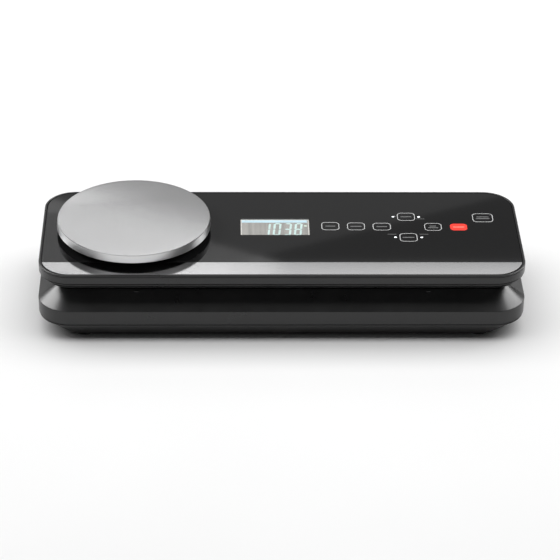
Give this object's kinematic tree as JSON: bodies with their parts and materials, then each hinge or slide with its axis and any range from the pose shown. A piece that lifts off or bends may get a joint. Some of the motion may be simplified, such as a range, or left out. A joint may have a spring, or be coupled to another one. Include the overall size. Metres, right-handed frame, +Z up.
{
  "type": "vacuum sealer with kitchen scale",
  "caption": "Long flat kitchen vacuum sealer: hinged lid with gloss touch panel, steel trim and a round scale platter, over a stepped black base with sealing bar and pump.",
  "frame": {"origin": "middle of the footprint, at the level of the surface the feet stand on", "axes": "+X to the right along the sealer's length, +Y to the back where the hinges are, +Z up"},
  "size_m": [0.4026, 0.1426, 0.0748],
  "materials": {
    "housing_black": "fine satin moulding texture",
    "lower_housing_black": "fine matt moulding texture",
    "panel_gloss": "mirror gloss, printed from behind",
    "brushed_steel": "brushed",
    "display_glass": "clear",
    "display_body": "satin",
    "inner_plastic": "matt",
    "circuit_board": "solder mask",
    "zinc_steel": "zinc plated",
    "aluminium": "machined",
    "brass": "rolled strip",
    "rubber": "matt",
    "foam_seal": "closed-cell foam skin",
    "silicone": "smooth",
    "release_tape": "coated glass cloth",
    "copper": "enamelled winding",
    "clear_hose": "translucent"
  },
  "bodies": {
    "base": {"base_shell": "housing_black", "bottom_cover": "lower_housing_black", "drip_tray": "inner_plastic", "lid_switch": "inner_plastic", "pump_crankcase": "inner_plastic", "pump_head": "inner_plastic", "mains_inlet": "inner_plastic", "hose_port": "inner_plastic", "main_board": "circuit_board", "hinge_pin_left": "zinc_steel", "hinge_pin_right": "zinc_steel", "button_spring_left": "zinc_steel", "button_spring_right": "zinc_steel", "pump_motor": "zinc_steel", "base_screw_1": "zinc_steel", "base_screw_2": "zinc_steel", "base_screw_3": "zinc_steel", "base_screw_4": "zinc_steel", "heating_bar": "aluminium", "heating_strip": "brass", "foot_1": "rubber", "foot_2": "rubber", "foot_3": "rubber", "foot_4": "rubber", "lower_gasket": "foam_seal", "release_tape": "release_tape", "transformer": "copper", "valve_body": "copper", "pump_hose": "clear_hose", "valve_hose": "clear_hose"},
    "lid": {"lid_frame": "housing_black", "control_panel": "panel_gloss", "front_trim_strip": "brushed_steel", "display_window": "display_glass", "display_module": "display_body", "control_board": "circuit_board", "lid_lower_shell": "housing_black", "upper_gasket": "foam_seal", "press_strip": "silicone", "latch_hook_left": "inner_plastic", "latch_hook_right": "inner_plastic", "lid_screw_1": "zinc_steel", "lid_screw_2": "zinc_steel", "lid_screw_3": "zinc_steel", "lid_screw_4": "zinc_steel", "load_cell": "aluminium", "load_cell_screw_1": "zinc_steel", "load_cell_screw_2": "zinc_steel"},
    "scale": {"scale_platter": "brushed_steel", "platter_carrier": "inner_plastic", "load_plate": "zinc_steel", "carrier_screw_1": "zinc_steel", "carrier_screw_2": "zinc_steel"},
    "release_left": {"release_button_left": "housing_black"},
    "release_right": {"release_button_right": "housing_black"},
    "switch": {"switch_plunger": "silicone"},
    "valve": {"valve_plunger": "zinc_steel"},
    "piston": {"pump_piston": "silicone"},
    "crankshaft": {"pump_crankshaft": "zinc_steel"}
  },
  "joints": [
    {"name": "lid_hinge", "type": "hinge", "parent": "base", "child": "lid", "pos_m": [0, 0.062, 0.048], "axis": [-1, 0, 0], "range_deg": [0, 70]},
    {"name": "scale_press", "type": "slide", "parent": "lid", "child": "scale", "axis": [0, 0, -1], "range_m": [0, 0.0005], "stiffness_N_per_m": 20000, "springref_m": -0.0001, "deforming": ["load_cell"]},
    {"name": "release_left_push", "type": "slide", "parent": "base", "child": "release_left", "axis": [1, 0, 0], "range_m": [0, 0.003], "stiffness_N_per_m": 800, "springref_m": -0.002, "deforming": ["button_spring_left"]},
    {"name": "release_right_push", "type": "slide", "parent": "base", "child": "release_right", "axis": [-1, 0, 0], "range_m": [0, 0.003], "stiffness_N_per_m": 800, "springref_m": -0.002, "deforming": ["button_spring_right"]},
    {"name": "switch_press", "type": "slide", "parent": "base", "child": "switch", "axis": [0, 0, -1], "range_m": [0, 0.0008], "stiffness_N_per_m": 300, "springref_m": -0.001},
    {"name": "valve_stroke", "type": "slide", "parent": "base", "child": "valve", "axis": [-1, 0, 0], "range_m": [0, 0.0015], "stiffness_N_per_m": 300, "springref_m": -0.001},
    {"name": "piston_stroke", "type": "slide", "parent": "base", "child": "piston", "axis": [0, 1, 0], "range_m": [-0.0015, 0.0015]},
    {"name": "crankshaft_spin", "type": "hinge", "parent": "base", "child": "crankshaft", "pos_m": [-0.023, 0.046, 0.0195], "axis": [1, 0, 0], "continuous": true}
  ]
}
